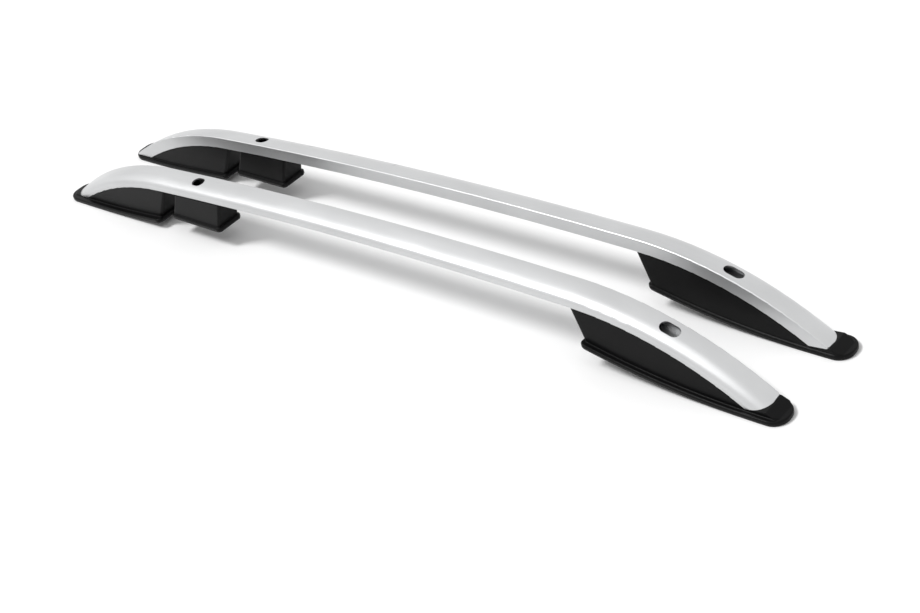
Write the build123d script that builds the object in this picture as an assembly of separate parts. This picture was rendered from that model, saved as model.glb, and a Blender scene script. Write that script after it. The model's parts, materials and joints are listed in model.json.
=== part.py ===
from build123d import *
import math
import os

# The pair. Lengths in millimetres, angles in degrees.
RAIL_LENGTH = 1180.0          # toe tip to toe tip
RAIL_SPACING = 118.6          # between the centre lines of the two rails
RAIL_STAGGER = 7.2            # the right rail lies this far behind the left one

# Bar section: flat underside, crisp inner edge, round outer shoulder.
BAR_WIDTH = 33.5
BAR_HEIGHT = 17.2
BAR_WALL = 2.2
CROWN_RADIUS = 110.0
CROWN_SHARE = 0.57            # share of the width under the crown
SHOULDER_SHARE = 0.125        # share of the width under the round of the shoulder
SHOULDER_ANGLE = 31.0         # slope of the top where that round begins
INNER_EDGE_RADIUS = 1.2
LOWER_EDGE_RADIUS = 1.4
TIP_BLUNT = 1.6               # the knife edge at each end of the bar is cut off this far back
TIP_RADIUS = 5.0              # plan rounding of the ends of the bar

# Curve of the bar's underside: one long arch between two bends.
ARCH_HEIGHT = 77.9
ARCH_TOP_SHIFT = 122.5        # top of the arch, behind mid-length
ARCH_RADIUS = 7441.0
FRONT_BEND_START = 222.5      # from the front toe tip
REAR_BEND_START = 261.7       # from the rear toe tip

# Openings in the bar.
SLOT_WIDTH = 15.0
FRONT_SLOT_LENGTH = 20.0
REAR_SLOT_LENGTH = 25.0
BOLT_OFFSET = 1.75            # bolt line, to the inner side of the bar's centre line
BOLT_HOLE_RADIUS = 5.0

# Front foot.
FRONT_FOOT_LENGTH = 208.0
FRONT_FOOT_RAKE = 29.0
FRONT_FLANGE_WIDTH = 44.0
FRONT_TOE_RADIUS = 18.0
FRONT_BASE_RISE = 9.5
FRONT_TOE_LIP = 7.0           # from the bar's tip to the toe tip
FRONT_SEAT_HEIGHT = 7.5
FRONT_SEAT_TILT = 0.0
FRONT_SOLID_TOE = 66.0

# Rear foot.
REAR_FOOT_LENGTH = 251.0
REAR_FOOT_RAKE = 19.5
REAR_FLANGE_WIDTH = 40.0
REAR_TOE_RADIUS = 18.5
REAR_BASE_RISE = 27.0
REAR_TOE_LIP = 20.5
REAR_SEAT_HEIGHT = 12.5
REAR_SEAT_TILT = 6.0
REAR_SOLID_TOE = 82.0
REAR_BOLT_FROM_TIP = 140.0

# Shared by the feet.
TOE_FLAT = 30.0               # flat resting length under a toe
FLANGE_HEIGHT = 6.5           # top of a flange over the base of its foot
FLANGE_ROUND = 1.3
FLANGE_CORNER = 6.0
FLANGE_SHIFT = 2.0            # an end foot's flange stands out more on the outer side
END_LEDGE = 3.0
NOSE_INSET = 4.5
NOSE_DROP = 1.0               # how far a nose runs down past the top of its flange
PANEL_WIDTH = 33.0
PANEL_DRAFT = 2.0
PANEL_CORNER = 3.0
FOOT_WALL = 2.8
ROOF_WALL = 3.2
RIB = 2.6

# Block foot.
BLOCK_LENGTH = 98.0
BLOCK_WIDTH = 43.0
BLOCK_FROM_TIP = 286.7        # from the front toe tip to the middle of the block's base
BLOCK_BASE_HEIGHT = 25.0
BLOCK_RAKE = 22.0
BLOCK_DRAFT = 2.5
BLOCK_LEDGE = 3.0
BLOCK_BOLT_SHIFT = 5.3

# Gaskets, sleeves and screws.
GASKET_THICKNESS = 2.0
GASKET_INSET = 1.0
SLEEVE_RADIUS = 6.5
SLEEVE_BORE_RADIUS = 4.5
SLEEVE_BOSS_RADIUS = 9.5
SLEEVE_PLAY = 0.1
SCREW_RADIUS = 2.4
SCREW_HEAD_RADIUS = 4.6
SCREW_HEAD_HEIGHT = 2.8
SCREW_PLAY = 0.15
SCREW_REACH = 7.0             # how far a screw stands up past the bar's underside
BOSS_RADIUS = 5.5
BOSS_DEPTH = 9.0

FRONT = -1
REAR = 1
WIDE = 1.5 * REAR_FLANGE_WIDTH    # half width of the slabs that shape the feet
DEEP = -30.0                  # level below everything
TALL = ARCH_HEIGHT + 12.0     # level over every foot


def slope(angle):
    return math.tan(math.radians(angle))


def from_tip(end, distance):
    """Rail x of a point a given distance in from one toe tip."""
    return end * (RAIL_LENGTH / 2 - distance)


BLOCK_X = from_tip(FRONT, BLOCK_FROM_TIP)
BLOCK_BOLT_X = BLOCK_X + BLOCK_BOLT_SHIFT
REAR_BOLT_X = from_tip(REAR, REAR_BOLT_FROM_TIP)
FRONT_SCREWS = [from_tip(FRONT, share * FRONT_FOOT_LENGTH) for share in (0.42, 0.8)]
BLOCK_SCREWS = [BLOCK_BOLT_X + share * BLOCK_LENGTH for share in (-0.23, 0.23)]
REAR_SCREWS = [from_tip(REAR, share * REAR_FOOT_LENGTH) for share in (0.41, 0.84)]


# Side view helpers. A side view point is (x, z).

def polar(centre, radius, angle):
    """Point on a circle, the angle taken from straight up towards the rear."""
    return (centre[0] + radius * math.sin(angle), centre[1] + radius * math.cos(angle))


def side(point):
    return (point[0], 0, point[1])


def side_arc(centre, radius, start, stop):
    angles = (start, (start + stop) / 2, stop)
    return ThreePointArc(*[side(polar(centre, radius, angle)) for angle in angles])


def side_loop(points):
    return [Line(side(a), side(b)) for a, b in zip(points, points[1:] + points[:1])]


def slab(edges):
    """Solid of a closed side view outline, reaching past both sides of a rail."""
    return extrude(make_face(edges), amount=WIDE, dir=(0, 1, 0), both=True)


# Curve of the bar.

ARCH_CENTRE = (ARCH_TOP_SHIFT, ARCH_HEIGHT - ARCH_RADIUS)


def toe_lip(end):
    return FRONT_TOE_LIP if end == FRONT else REAR_TOE_LIP


def bar_tip(end):
    """Point where the bar's top runs out on a toe."""
    height = FRONT_SEAT_HEIGHT if end == FRONT else REAR_SEAT_HEIGHT
    return (from_tip(end, toe_lip(end)), height)


def bend(end):
    """Centre, radius, first and last angle of the bend that brings the bar down to a toe."""
    start = FRONT_BEND_START if end == FRONT else REAR_BEND_START
    first = math.asin((from_tip(end, start) - ARCH_CENTRE[0]) / ARCH_RADIUS)
    joint = polar(ARCH_CENTRE, ARCH_RADIUS, first)
    tip = bar_tip(end)
    dx = tip[0] - joint[0]
    dz = tip[1] - joint[1]
    along_normal = dx * math.sin(first) + dz * math.cos(first)
    radius = (dx ** 2 + dz ** 2 - BAR_HEIGHT ** 2) / (2 * (BAR_HEIGHT - along_normal))
    centre = polar(joint, -radius, first)
    last = end * math.acos((DEEP / 2 - centre[1]) / radius)
    return centre, radius, first, last


def curve_at(x):
    """Centre and radius of the arc of the underside that x falls on."""
    for end in (FRONT, REAR):
        centre, radius, first, last = bend(end)
        if end * (x - polar(ARCH_CENTRE, ARCH_RADIUS, first)[0]) > 0:
            return centre, radius
    return ARCH_CENTRE, ARCH_RADIUS


def underside(x):
    centre, radius = curve_at(x)
    return centre[1] + math.sqrt(radius ** 2 - (x - centre[0]) ** 2)


def plane_on_bar(x, height):
    """Plane lying along the bar at x, a given height over its underside."""
    centre, radius = curve_at(x)
    angle = math.asin((x - centre[0]) / (radius + height))
    return Plane(
        origin=side(polar(centre, radius + height, angle)),
        x_dir=(math.cos(angle), 0, -math.sin(angle)),
        z_dir=(math.sin(angle), 0, math.cos(angle)),
    )


def under_bar(drop):
    """Everything below a surface that lies a given drop under the bar."""
    front_centre, front_radius, front_first, front_last = bend(FRONT)
    rear_centre, rear_radius, rear_first, rear_last = bend(REAR)
    front = side_arc(front_centre, front_radius - drop, front_last, front_first)
    arch = side_arc(ARCH_CENTRE, ARCH_RADIUS - drop, front_first, rear_first)
    rear = side_arc(rear_centre, rear_radius - drop, rear_first, rear_last)
    return slab([front, arch, rear, Line(rear @ 1, front @ 0)])


def seat(end):
    """Ground under the sliced end of the bar: a seat line, then the nose of the toe."""
    tilt = FRONT_SEAT_TILT if end == FRONT else REAR_SEAT_TILT
    tip_x, tip_z = bar_tip(end)
    inner_x = tip_x - end * 3.5 * BAR_WIDTH
    inner_z = tip_z - 3.5 * BAR_WIDTH * slope(tilt)
    nose_x = from_tip(end, min(NOSE_INSET, 0.5 * toe_lip(end)))
    nose_z = min(tip_z, FLANGE_HEIGHT) - NOSE_DROP
    return slab(side_loop([
        (inner_x, DEEP),
        (inner_x, inner_z),
        (tip_x, tip_z),
        (nose_x, nose_z),
        (from_tip(end, -WIDE), nose_z),
        (from_tip(end, -WIDE), DEEP),
    ]))


# Bar.

def bar_outline(inset):
    """Section of the bar, or of its cavity when set in by the wall. The inner side is +y."""
    half = BAR_WIDTH / 2
    crown_angle = -math.asin(CROWN_SHARE * BAR_WIDTH / CROWN_RADIUS)
    shoulder_angle = -math.radians(SHOULDER_ANGLE)
    blend_share = 1 - CROWN_SHARE - SHOULDER_SHARE
    blend_radius = blend_share * BAR_WIDTH / (math.sin(crown_angle) - math.sin(shoulder_angle))
    shoulder_radius = SHOULDER_SHARE * BAR_WIDTH / (1 + math.sin(shoulder_angle))
    crown = (half, BAR_HEIGHT - CROWN_RADIUS)
    blend = polar(crown, CROWN_RADIUS - blend_radius, crown_angle)
    shoulder = polar(blend, blend_radius - shoulder_radius, shoulder_angle)
    start = -math.asin(inset / (CROWN_RADIUS - inset))
    arcs = [
        section_arc(crown, CROWN_RADIUS - inset, start, crown_angle),
        section_arc(blend, blend_radius - inset, crown_angle, shoulder_angle),
        section_arc(shoulder, shoulder_radius - inset, shoulder_angle, -math.pi / 2),
    ]
    low_outer = (inset - half, inset)
    low_inner = (half - inset, inset)
    sides = [
        Line(arcs[2] @ 1, low_outer),
        Line(low_outer, low_inner),
        Line(low_inner, arcs[0] @ 0),
    ]
    return make_face(arcs + sides)


def section_arc(centre, radius, start, stop):
    angles = (start, (start + stop) / 2, stop)
    return ThreePointArc(*[polar(centre, radius, angle) for angle in angles])


def bar_section():
    """Hollow section with its corners rounded outside."""
    outside = bar_outline(0.0)
    outer_side = outside.vertices().sort_by(Axis.X)[:2].sort_by(Axis.Y)
    outside = fillet(outer_side[0], LOWER_EDGE_RADIUS)
    inner_side = outside.vertices().sort_by(Axis.X)[-2:]
    outside = fillet(inner_side, INNER_EDGE_RADIUS)
    return outside - bar_outline(BAR_WALL)


def bar_segment(section, centre, radius, start, stop):
    """Length of bar bent round an axis across the rail."""
    axis = Axis((centre[0], 0, centre[1]), (0, 1, 0))
    face = Pos(centre[0], 0, centre[1] + radius) * (Plane.YZ * section)
    face = face.rotate(axis, math.degrees(start))
    return revolve(face, axis, math.degrees(stop - start))


def on_bar(x, radius, low, high):
    """Cylinder square to the bar, between two heights over its underside."""
    return plane_on_bar(x, 0) * Pos(0, 0, (low + high) / 2) * Cylinder(radius, high - low)


def upright(x, radius, low, high):
    """Upright cylinder on the bolt line."""
    return Pos(x, BOLT_OFFSET, (low + high) / 2) * Cylinder(radius, high - low)


def bar_plan():
    """Prism that rounds the ends of the bar in plan and takes their knife edges off."""
    front = bar_tip(FRONT)[0] + TIP_BLUNT
    rear = bar_tip(REAR)[0] - TIP_BLUNT
    outline = rounded_plan(front, rear, BAR_WIDTH + 2, TIP_RADIUS, TIP_RADIUS)
    return Pos(0, 0, DEEP) * extrude(outline, amount=2 * TALL - DEEP)


def slot(x, length):
    """Cutter through the top wall of the bar only."""
    outline = extrude(SlotOverall(length, SLOT_WIDTH), amount=BAR_HEIGHT)
    return plane_on_bar(x, BAR_HEIGHT) * Pos(0, BOLT_OFFSET, -0.5 * BAR_HEIGHT) * outline


def bar():
    section = bar_section()
    front_centre, front_radius, front_first, front_last = bend(FRONT)
    rear_centre, rear_radius, rear_first, rear_last = bend(REAR)
    body = bar_segment(section, ARCH_CENTRE, ARCH_RADIUS, front_first, rear_first)
    body += bar_segment(section, front_centre, front_radius, front_last, front_first)
    body += bar_segment(section, rear_centre, rear_radius, rear_first, rear_last)
    body -= seat(FRONT)
    body -= seat(REAR)
    body &= bar_plan()
    for x, length in ((BLOCK_BOLT_X, FRONT_SLOT_LENGTH), (REAR_BOLT_X, REAR_SLOT_LENGTH)):
        body -= slot(x, length)
        body -= upright(x, BOLT_HOLE_RADIUS, underside(x) - 8, underside(x) + 0.4 * BAR_HEIGHT)
    for x in FRONT_SCREWS + BLOCK_SCREWS + REAR_SCREWS:
        body -= on_bar(x, SCREW_RADIUS + SCREW_PLAY, -2, 0.4 * BAR_HEIGHT)
    return body


# Feet.

def rounded_plan(toe_x, end_x, width, toe_radius, end_radius):
    """Plan outline from a toe to an inner end, each with its own corner radius."""
    toward = 1 if end_x > toe_x else -1
    half = width / 2
    toe = min(toe_radius, 0.48 * width)
    end = max(min(end_radius, 0.48 * width), 0.8)
    edges = []
    for hand in (1, -1):
        corners = (
            (toe_x + toward * toe, hand * (half - toe), toe, -toward),
            (end_x - toward * end, hand * (half - end), end, toward),
        )
        for x, y, radius, way in corners:
            bulge = radius * math.sqrt(0.5)
            edges.append(ThreePointArc(
                (x + way * radius, y), (x + way * bulge, y + hand * bulge), (x, y + hand * radius)))
        edges.append(Line((corners[0][0], hand * half), (corners[1][0], hand * half)))
    edges.append(Line((toe_x, half - toe), (toe_x, toe - half)))
    edges.append(Line((end_x, half - end), (end_x, end - half)))
    return make_face(edges)


def foot_length(end):
    return FRONT_FOOT_LENGTH if end == FRONT else REAR_FOOT_LENGTH


def base_rise(end):
    return FRONT_BASE_RISE if end == FRONT else REAR_BASE_RISE


def base_radius(end):
    """Radius of the arc that lifts the base of an end foot off the floor."""
    run = foot_length(end) - TOE_FLAT
    return (run ** 2 + base_rise(end) ** 2) / (2 * base_rise(end))


def base_height(end, x):
    past_flat = max(0.0, RAIL_LENGTH / 2 - end * x - TOE_FLAT)
    return base_radius(end) - math.sqrt(base_radius(end) ** 2 - past_flat ** 2)


def base_curve(end, lift):
    """Base of an end foot raised by a lift: a flat under the toe, then the arc."""
    radius = base_radius(end)
    sweep = math.asin((foot_length(end) - TOE_FLAT + 0.5 * WIDE) / radius)
    arc = side_arc((from_tip(end, TOE_FLAT), radius + lift), -radius, 0.0, end * sweep)
    return [Line(side((from_tip(end, -TOE_FLAT), lift)), arc @ 0), arc]


def band(end, low, high):
    """Slab between two heights over the base of an end foot."""
    lower = base_curve(end, low)
    upper = base_curve(end, high)
    closing = [Line(lower[1] @ 1, upper[1] @ 1), Line(lower[0] @ 0, upper[0] @ 0)]
    return slab(lower + upper + closing)


def end_plan(end, inset):
    """Plan outline of an end foot's flange, as a tall prism."""
    width = FRONT_FLANGE_WIDTH if end == FRONT else REAR_FLANGE_WIDTH
    toe_radius = FRONT_TOE_RADIUS if end == FRONT else REAR_TOE_RADIUS
    outline = rounded_plan(
        from_tip(end, inset), from_tip(end, foot_length(end) - inset),
        width - 2 * inset, toe_radius - inset, FLANGE_CORNER - inset)
    return Pos(0, -FLANGE_SHIFT, DEEP) * extrude(outline, amount=TALL - DEEP)


def end_panel(end, near, inset):
    """Drafted sides and raked inner end of an end foot, from a distance off the toe tip."""
    rake = slope(FRONT_FOOT_RAKE if end == FRONT else REAR_FOOT_RAKE)
    far = foot_length(end) - END_LEDGE - (base_rise(end) + FLANGE_HEIGHT) * rake - inset
    outlines = []
    for z in (DEEP, TALL):
        length = far + z * rake - near
        width = PANEL_WIDTH - 2 * z * slope(PANEL_DRAFT) - 2 * inset
        outlines.append(Pos(from_tip(end, near + length / 2), 0, z) * Rectangle(length, width))
    return loft(outlines, ruled=True)


def end_panel_outside(end):
    """The same with its inner corners rounded, and rounded in plan at the toe."""
    panel = end_panel(end, NOSE_INSET, 0.0)
    panel = fillet(rising_edges(panel).sort_by(Axis.X, reverse=end == REAR)[-2:], PANEL_CORNER)
    toe_radius = (FRONT_TOE_RADIUS if end == FRONT else REAR_TOE_RADIUS) - NOSE_INSET
    outline = rounded_plan(
        from_tip(end, NOSE_INSET), from_tip(end, 2 * foot_length(end)),
        PANEL_WIDTH - 2 * DEEP * slope(PANEL_DRAFT) + 1, toe_radius, PANEL_CORNER)
    return panel & (Pos(0, 0, DEEP) * extrude(outline, amount=TALL - DEEP))


def rising_edges(solid):
    return ShapeList(edge for edge in solid.edges() if abs((edge % 0.5).Z) > 0.3)


def round_top(flange, top_height, flat_x):
    """Rounds the upper rim of a flange, given the height of its top at each x."""
    rim = [
        edge for edge in flange.edges()
        if abs((edge @ 0.5).Z - top_height((edge @ 0.5).X)) < 0.02
        and not (abs((edge @ 0).X - flat_x) < 0.1 and abs((edge @ 1).X - flat_x) < 0.1)
    ]
    return fillet(rim, FLANGE_ROUND)


def end_foot(end):
    screws = FRONT_SCREWS if end == FRONT else REAR_SCREWS
    solid_toe = FRONT_SOLID_TOE if end == FRONT else REAR_SOLID_TOE
    flange = end_plan(end, 0.0) & band(end, GASKET_THICKNESS, FLANGE_HEIGHT)
    flange = round_top(
        flange, lambda x: base_height(end, x) + FLANGE_HEIGHT, from_tip(end, TOE_FLAT))
    ground = under_bar(0.0) + seat(end)
    panel = end_panel_outside(end) & ground
    panel &= band(end, GASKET_THICKNESS, TALL)
    hollow = end_panel(end, solid_toe, FOOT_WALL) & under_bar(ROOF_WALL)
    inside = Pos(from_tip(end, 0.63 * foot_length(end)), 0, 0) * Box(RIB, WIDE, 4 * TALL)
    for x in screws:
        inside += on_bar(x, BOSS_RADIUS, -BOSS_DEPTH, 2)
    if end == REAR:
        inside += upright(REAR_BOLT_X, SLEEVE_BOSS_RADIUS, DEEP, TALL)
    foot = flange + panel - hollow + (inside & panel)
    for x in screws:
        foot -= on_bar(x, SCREW_RADIUS + SCREW_PLAY, -BOSS_DEPTH - 1, 2)
    if end == REAR:
        foot -= upright(REAR_BOLT_X, SLEEVE_RADIUS + SLEEVE_PLAY, DEEP, TALL)
    return foot


def block_plan(inset):
    outline = RectangleRounded(
        BLOCK_LENGTH - 2 * inset, BLOCK_WIDTH - 2 * inset, FLANGE_CORNER - inset)
    return Pos(BLOCK_X, 0) * outline


def block_panel(inset):
    """Raked, drafted sides of the block foot."""
    level = BLOCK_BASE_HEIGHT + FLANGE_HEIGHT
    outlines = []
    for z in (BLOCK_BASE_HEIGHT + DEEP / 6, TALL):
        narrowing = 2 * (z - level) * slope(BLOCK_DRAFT) + 2 * inset + 2 * BLOCK_LEDGE
        outlines.append(Pos(BLOCK_X + (z - level) * slope(BLOCK_RAKE), 0, z) * Rectangle(
            BLOCK_LENGTH - narrowing, BLOCK_WIDTH - narrowing))
    return loft(outlines, ruled=True)


def block_foot():
    top = BLOCK_BASE_HEIGHT + FLANGE_HEIGHT
    low = BLOCK_BASE_HEIGHT + GASKET_THICKNESS
    flange = Pos(0, 0, low) * extrude(block_plan(0.0), amount=top - low)
    flange = fillet(flange.faces().sort_by(Axis.Z)[-1].edges(), FLANGE_ROUND)
    panel = block_panel(0.0)
    panel = fillet(rising_edges(panel), PANEL_CORNER) & under_bar(0.0)
    panel -= Pos(BLOCK_X, 0, low - TALL) * Box(4 * BLOCK_LENGTH, WIDE * 2, 2 * TALL)
    hollow = block_panel(FOOT_WALL) & under_bar(ROOF_WALL)
    inside = upright(BLOCK_BOLT_X, SLEEVE_BOSS_RADIUS, DEEP, TALL)
    for x in BLOCK_SCREWS:
        inside += on_bar(x, BOSS_RADIUS, -BOSS_DEPTH, 2)
    foot = flange + panel - hollow + (inside & panel)
    for x in BLOCK_SCREWS:
        foot -= on_bar(x, SCREW_RADIUS + SCREW_PLAY, -BOSS_DEPTH - 1, 2)
    return foot - upright(BLOCK_BOLT_X, SLEEVE_RADIUS + SLEEVE_PLAY, DEEP, TALL)


# Gaskets, sleeves and screws.

def end_gasket(end):
    pad = end_plan(end, GASKET_INSET) & band(end, 0.0, GASKET_THICKNESS)
    if end == REAR:
        pad -= upright(REAR_BOLT_X, SLEEVE_RADIUS + SLEEVE_PLAY, DEEP, TALL)
    return pad


def block_gasket():
    pad = Pos(0, 0, BLOCK_BASE_HEIGHT) * extrude(block_plan(GASKET_INSET), amount=GASKET_THICKNESS)
    return pad - upright(BLOCK_BOLT_X, SLEEVE_RADIUS + SLEEVE_PLAY, DEEP, TALL)


def sleeve(x, base):
    """Tube from the base of a foot up to the bar, the base given as a height at each x."""
    low = max(base(x - SLEEVE_RADIUS), base(x + SLEEVE_RADIUS))
    high = min(underside(x - SLEEVE_RADIUS), underside(x + SLEEVE_RADIUS))
    return upright(x, SLEEVE_RADIUS, low, high) - upright(x, SLEEVE_BORE_RADIUS, DEEP, TALL)


def screws(places):
    """Pan head screws driven up through the bosses of a foot into the bar."""
    group = []
    for x in places:
        head = on_bar(x, SCREW_HEAD_RADIUS, -BOSS_DEPTH - SCREW_HEAD_HEIGHT, -BOSS_DEPTH)
        group.append(head + on_bar(x, SCREW_RADIUS, -BOSS_DEPTH, SCREW_REACH))
    return Compound(children=group)


RAIL = {
    "bar": bar(),
    "front_foot": end_foot(FRONT),
    "block_foot": block_foot(),
    "rear_foot": end_foot(REAR),
    "front_gasket": end_gasket(FRONT),
    "block_gasket": block_gasket(),
    "rear_gasket": end_gasket(REAR),
    "block_sleeve": sleeve(BLOCK_BOLT_X, lambda x: BLOCK_BASE_HEIGHT),
    "rear_sleeve": sleeve(REAR_BOLT_X, lambda x: base_height(REAR, x)),
    "front_foot_screws": screws(FRONT_SCREWS),
    "block_screws": screws(BLOCK_SCREWS),
    "rear_foot_screws": screws(REAR_SCREWS),
}

os.makedirs("parts", exist_ok=True)
for name, piece in RAIL.items():
    left = Pos(-RAIL_STAGGER / 2, -RAIL_SPACING / 2, 0) * piece
    right = Pos(RAIL_STAGGER / 2, RAIL_SPACING / 2, 0) * mirror(piece, about=Plane.XZ)
    export_step(left, f"parts/left_{name}.step")
    export_step(right, f"parts/right_{name}.step")
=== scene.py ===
import bpy
import json
import math
from mathutils import Matrix, Vector


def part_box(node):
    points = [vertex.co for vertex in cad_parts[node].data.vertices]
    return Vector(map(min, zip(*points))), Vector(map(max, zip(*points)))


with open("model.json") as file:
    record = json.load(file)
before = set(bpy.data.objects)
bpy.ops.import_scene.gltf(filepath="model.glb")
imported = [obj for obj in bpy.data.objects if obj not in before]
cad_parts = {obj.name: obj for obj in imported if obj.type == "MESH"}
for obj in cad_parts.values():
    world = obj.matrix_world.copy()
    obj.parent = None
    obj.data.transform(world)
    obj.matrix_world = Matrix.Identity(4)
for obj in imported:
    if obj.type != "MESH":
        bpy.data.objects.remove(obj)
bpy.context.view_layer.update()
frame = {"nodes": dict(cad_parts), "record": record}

# Camera, as fitted to the rails in metres and degrees.
CAMERA_PLACE = Vector((1.3318, -1.1493, 1.1154))
CAMERA_YAW = 47.58
CAMERA_PITCH = 34.39
CAMERA_ROLL = -14.09
FOCAL_PIXELS = 1652.0
PICTURE_WIDTH = 920
SENSOR_WIDTH = 36.0

# Key light: a broad softbox far off, by its direction, its strength and its width in degrees.
KEY_FROM = Vector((-0.42, -0.38, 0.85))
KEY_STRENGTH = 2.0
KEY_WIDTH = 17.0

# Fill lights: panels that lighten the crown of the bars and their shoulder at the two bends,
# by place and size in metres and power in watts.
FILLS = {
    "crown_fill": (Vector((-1.83, 0.15, 2.37)), (2.4, 1.2), 3.0),
    "rear_fill": (Vector((0.80, -0.75, 2.80)), (1.9, 1.9), 9.0),
    "front_fill": (Vector((-2.80, 0.0, 1.00)), (1.1, 1.0), 0.5),
}

# Surroundings: their colour, the strength of their even light on rough surfaces, and the
# floor's side in metres.
WHITE = (1.0, 1.0, 1.0, 1.0)
AMBIENT = 0.54
FLOOR_SIZE = 12.0

# Rounding of the plastic's edges in its shading: its radius in metres, and the rays that find it.
EDGE_RADIUS = 0.0025
EDGE_RAYS = 8

# Section and bends of the bars, in metres. The lean is the sine of the surface's slope
# at a distance from the inner side: inner edge, crown, blend, shoulder, outer side.
RAIL_STAGGER = 0.0072
BAR_INNER_SIDE = -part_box("left_bar")[1][1]
BAR_LEAN = ((0.0, -1.0), (0.0012, 0.0), (0.0191, 0.1736), (0.0293, 0.515), (0.0335, 1.0))
ARCH_CENTRE = (0.1225, -7.3631)
FRONT_JOINT = -0.3675
FRONT_BEND_CENTRE = (-0.3392, -0.3669)
REAR_JOINT = 0.3283
REAR_BEND_CENTRE = (0.3166, -0.3477)
SAME_SIDE = 0.8       # least cosine between the worked out normal and the mesh's own


# Helpers.

class Nodes:
    """Shader nodes of a material or a world, made and linked in short calls."""

    def __init__(self, owner):
        owner.use_nodes = True
        self.owner = owner
        self.tree = owner.node_tree

    def new(self, kind, **values):
        """Makes a node. A value goes to the setting of that name, or else to the input."""
        node = self.tree.nodes.new(kind)
        for key, value in values.items():
            if hasattr(node, key):
                setattr(node, key, value)
            else:
                node.inputs[key].default_value = value
        return node

    def link(self, source, target):
        self.tree.links.new(source, target)

    def feed(self, node, values):
        """Fills a node's inputs in order with numbers or with other nodes' outputs."""
        for socket, value in zip(node.inputs, values):
            if isinstance(value, bpy.types.NodeSocket):
                self.link(value, socket)
            else:
                socket.default_value = value

    def math(self, operation, *values):
        node = self.new("ShaderNodeMath", operation=operation)
        self.feed(node, values)
        return node.outputs["Value"]

    def vector(self, operation, *values):
        node = self.new("ShaderNodeVectorMath", operation=operation)
        self.feed(node, values)
        return node.outputs["Value" if operation == "DOT_PRODUCT" else "Vector"]

    def scaled(self, vector, factor):
        node = self.new("ShaderNodeVectorMath", operation="SCALE")
        self.link(vector, node.inputs["Vector"])
        self.link(factor, node.inputs["Scale"])
        return node.outputs["Vector"]

    def split(self, vector):
        node = self.new("ShaderNodeSeparateXYZ")
        self.link(vector, node.inputs["Vector"])
        return node.outputs

    def joined(self, x, y, z):
        node = self.new("ShaderNodeCombineXYZ")
        self.feed(node, (x, y, z))
        return node.outputs["Vector"]

    def ramp(self, value, start, stop, low, high):
        """Straight run from low to high while a value goes from start to stop, level outside."""
        node = self.new("ShaderNodeMapRange")
        self.feed(node, (value, start, stop, low, high))
        return node.outputs["Result"]

    def light_path(self, kind):
        return self.new("ShaderNodeLightPath").outputs[kind]


class Finish(Nodes):
    """A material around one shader, with colour, roughness and relief from noise."""

    SPREAD = (0.3, 0.7)       # most of a noise lies between these values

    def __init__(self, name, **values):
        super().__init__(bpy.data.materials.new(name))
        self.shader = self.tree.nodes["Principled BSDF"]
        for key, value in values.items():
            self.shader.inputs[key].default_value = value

    def place(self):
        """Where a point lies in object space."""
        return self.new("ShaderNodeTexCoord").outputs["Object"]

    def noise(self, scale, detail=4.0, stretch=(1.0, 1.0, 1.0)):
        """Noise in object space. A stretch under one draws it out along that axis."""
        shape = self.new("ShaderNodeMapping", Scale=stretch)
        self.link(self.place(), shape.inputs["Vector"])
        noise = self.new("ShaderNodeTexNoise", Scale=scale, Detail=detail)
        self.link(shape.outputs["Vector"], noise.inputs["Vector"])
        return noise.outputs["Fac"]

    def tint(self, factor, dark, light):
        ramp = self.new("ShaderNodeValToRGB")
        for stop, position, colour in zip(ramp.color_ramp.elements, self.SPREAD, (dark, light)):
            stop.position = position
            stop.color = (*colour, 1.0)
        self.link(factor, ramp.inputs["Fac"])
        self.link(ramp.outputs["Color"], self.shader.inputs["Base Color"])

    def rough(self, factor, low, high):
        self.link(self.ramp(factor, *self.SPREAD, low, high), self.shader.inputs["Roughness"])

    def soft_edges(self, radius, rays):
        """Normal that turns over the edges within a radius."""
        return self.new("ShaderNodeBevel", samples=rays, Radius=radius).outputs["Normal"]

    def bump(self, factor, strength, depth, normal=None):
        """Fine relief over the surface, or over a normal of its own."""
        node = self.new("ShaderNodeBump", Strength=strength, Distance=depth)
        if normal:
            self.link(normal, node.inputs["Normal"])
        self.link(factor, node.inputs["Height"])
        self.link(node.outputs["Normal"], self.shader.inputs["Normal"])


# Materials.

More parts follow.
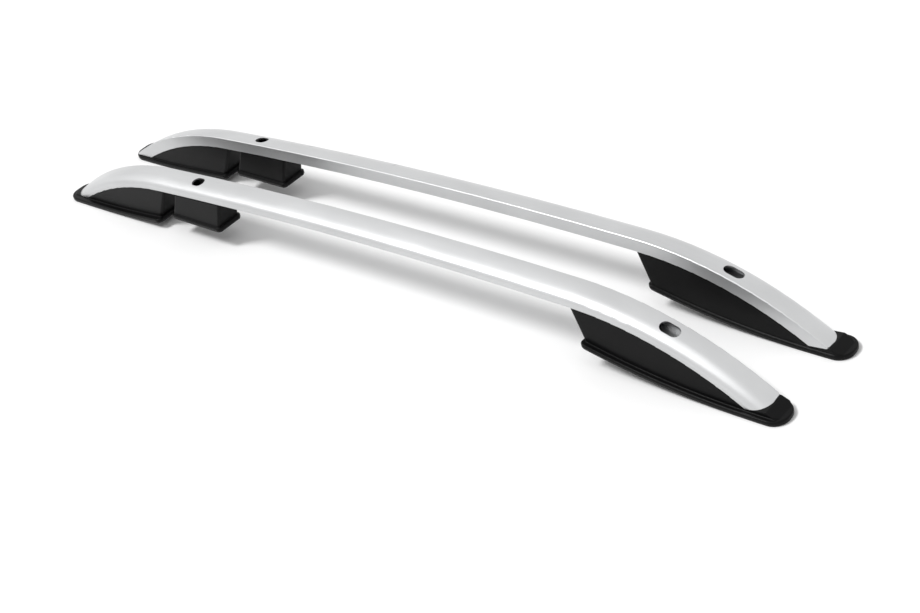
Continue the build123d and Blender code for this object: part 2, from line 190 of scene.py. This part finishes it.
def bar_normal(m):
    """Smooth normal of the drawn bar, worked out from its section and its bends.

    Along the section the sine of the surface's lean is a straight run over each of its arcs.
    Where the surface faces another way, as in the slots, its own normal stays.
    """
    x, y, z = m.split(m.place())
    hand = m.math("SIGN", y)
    along = m.math("SUBTRACT", x, m.math("MULTIPLY", hand, RAIL_STAGGER / 2))
    across = m.math("SUBTRACT", m.math("ABSOLUTE", y), BAR_INNER_SIDE)
    lean = BAR_LEAN[0][1]
    for (start, low), (stop, high) in zip(BAR_LEAN, BAR_LEAN[1:]):
        lean = m.math("ADD", lean, m.ramp(across, start, stop, 0.0, high - low))
    level = m.math("SUBTRACT", 1.0, m.math("MULTIPLY", lean, lean))
    upright = m.math("SQRT", m.math("MAXIMUM", 0.0, level))
    in_front = m.math("LESS_THAN", along, FRONT_JOINT)
    behind = m.math("GREATER_THAN", along, REAR_JOINT)
    centres = zip(ARCH_CENTRE, FRONT_BEND_CENTRE, REAR_BEND_CENTRE)
    spoke = []
    for value, (arch, front, rear) in zip((along, z), centres):
        centre = m.math("MULTIPLY_ADD", in_front, front - arch, arch)
        centre = m.math("MULTIPLY_ADD", behind, rear - arch, centre)
        spoke.append(m.math("SUBTRACT", value, centre))
    outward = m.vector("NORMALIZE", m.joined(spoke[0], 0.0, spoke[1]))
    sideways = m.joined(0.0, m.math("MULTIPLY", lean, hand), 0.0)
    smooth = m.vector("ADD", m.scaled(outward, upright), sideways)
    surface = m.new("ShaderNodeNewGeometry").outputs
    likeness = m.vector("DOT_PRODUCT", smooth, surface["True Normal"])
    agrees = m.math("GREATER_THAN", likeness, SAME_SIDE)
    differs = m.math("SUBTRACT", 1.0, agrees)
    return m.vector("ADD", m.scaled(smooth, agrees), m.scaled(surface["Normal"], differs))


def anodised_aluminium():
    """Satin silver with faint drawing lines along the bar and a soft cloudiness."""
    m = Finish("anodised_aluminium", Metallic=1.0)
    lines = m.noise(scale=1400.0, stretch=(0.02, 1.0, 1.0))
    cloud = m.noise(scale=30.0, stretch=(0.4, 1.0, 1.0))
    m.tint(cloud, dark=(0.57, 0.575, 0.58), light=(0.62, 0.625, 0.63))
    m.rough(lines, low=0.29, high=0.37)
    m.bump(lines, strength=0.05, depth=0.0001, normal=bar_normal(m))
    return m.owner


def moulded_plastic():
    """Black satin moulding with a fine leather-like grain and softly rounded edges."""
    m = Finish("moulded_plastic", **{"Specular IOR Level": 0.10})
    grain = m.noise(scale=1500.0, detail=6.0)
    cloud = m.noise(scale=22.0)
    m.tint(cloud, dark=(0.002, 0.002, 0.0022), light=(0.004, 0.004, 0.0042))
    m.rough(grain, low=0.26, high=0.36)
    m.bump(grain, strength=0.12, depth=0.0002, normal=m.soft_edges(EDGE_RADIUS, EDGE_RAYS))
    return m.owner


def soft_rubber():
    """Dull black rubber with a little dust."""
    m = Finish("soft_rubber")
    dust = m.noise(scale=300.0, detail=5.0)
    m.tint(dust, dark=(0.010, 0.010, 0.010), light=(0.018, 0.018, 0.018))
    m.rough(dust, low=0.7, high=0.85)
    m.bump(dust, strength=0.2, depth=0.0002)
    return m.owner


def plated_steel(name, dark, light):
    """Plated steel with fine marks of turning round an upright axis."""
    m = Finish(name, Metallic=1.0)
    turned = m.noise(scale=900.0, stretch=(0.1, 0.1, 1.0))
    m.tint(turned, dark, light)
    m.rough(turned, low=0.28, high=0.4)
    m.bump(turned, strength=0.1, depth=0.0001)
    return m.owner


FINISHES = {
    "bar": anodised_aluminium(),
    "foot": moulded_plastic(),
    "gasket": soft_rubber(),
    "sleeve": plated_steel("plated_sleeve", dark=(0.53, 0.53, 0.54), light=(0.62, 0.62, 0.63)),
    "screw": plated_steel("plated_screw", dark=(0.47, 0.47, 0.48), light=(0.55, 0.55, 0.56)),
}
for entry in frame["record"]["subparts"]:
    node = frame["nodes"][entry["node"]]
    node.data.materials.clear()
    node.data.materials.append(FINISHES[entry["material_slot"]])


# Floor and surroundings.

def pale_floor():
    """Near white, with a faint cloudiness."""
    m = Finish("pale_floor", Roughness=0.9, **{"Specular IOR Level": 0.0})
    m.tint(m.noise(scale=3.0), dark=(0.93, 0.93, 0.93), light=(0.94, 0.94, 0.94))
    return m.owner


def studio():
    """White to the eye and in glossy or clear surfaces, an even light on rough ones."""
    w = Nodes(bpy.data.worlds.new("studio"))
    seen = w.light_path("Is Camera Ray")
    for kind in ("Is Glossy Ray", "Is Transmission Ray"):
        seen = w.math("MAXIMUM", seen, w.light_path(kind))
    background = w.tree.nodes["Background"]
    background.inputs["Color"].default_value = WHITE
    w.link(w.math("MAXIMUM", seen, AMBIENT), background.inputs["Strength"])
    return w.owner


bpy.ops.mesh.primitive_plane_add(size=FLOOR_SIZE, location=(0, 0, 0))
floor = bpy.context.object
floor.name = "floor"
floor.data.materials.append(pale_floor())
bpy.context.scene.world = studio()


# Lights. Each shines from its place towards the origin.

def add_light(name, kind, place, energy):
    data = bpy.data.lights.new(name, kind)
    data.energy = energy
    light = bpy.data.objects.new(name, data)
    light.location = place
    light.rotation_euler = place.to_track_quat("Z", "Y").to_euler()
    bpy.context.collection.objects.link(light)
    return data


key = add_light("key", "SUN", KEY_FROM, KEY_STRENGTH)
key.angle = math.radians(KEY_WIDTH)
for name, (place, size, power) in FILLS.items():
    fill = add_light(name, "AREA", place, power)
    fill.shape = "RECTANGLE"
    fill.size, fill.size_y = size


# Camera.

def camera_axes():
    """Right, top and backward of the camera from its yaw, pitch and roll."""
    yaw, pitch, roll = (math.radians(angle) for angle in (CAMERA_YAW, CAMERA_PITCH, CAMERA_ROLL))
    ahead = Vector((-math.sin(yaw), math.cos(yaw), 0))
    forward = math.cos(pitch) * ahead - math.sin(pitch) * Vector((0, 0, 1))
    level = Vector((math.cos(yaw), math.sin(yaw), 0))
    upward = level.cross(forward)
    right = math.cos(roll) * level + math.sin(roll) * upward
    top = math.cos(roll) * upward - math.sin(roll) * level
    return right, top, -forward


lens = bpy.data.cameras.new("camera")
lens.sensor_width = SENSOR_WIDTH
lens.sensor_fit = "HORIZONTAL"
lens.lens = FOCAL_PIXELS / PICTURE_WIDTH * SENSOR_WIDTH
camera = bpy.data.objects.new("camera", lens)
turn = Matrix(camera_axes()).transposed().to_4x4()
camera.matrix_world = Matrix.Translation(CAMERA_PLACE) @ turn
bpy.context.collection.objects.link(camera)
bpy.context.scene.camera = camera
bpy.context.scene.view_settings.view_transform = "Standard"
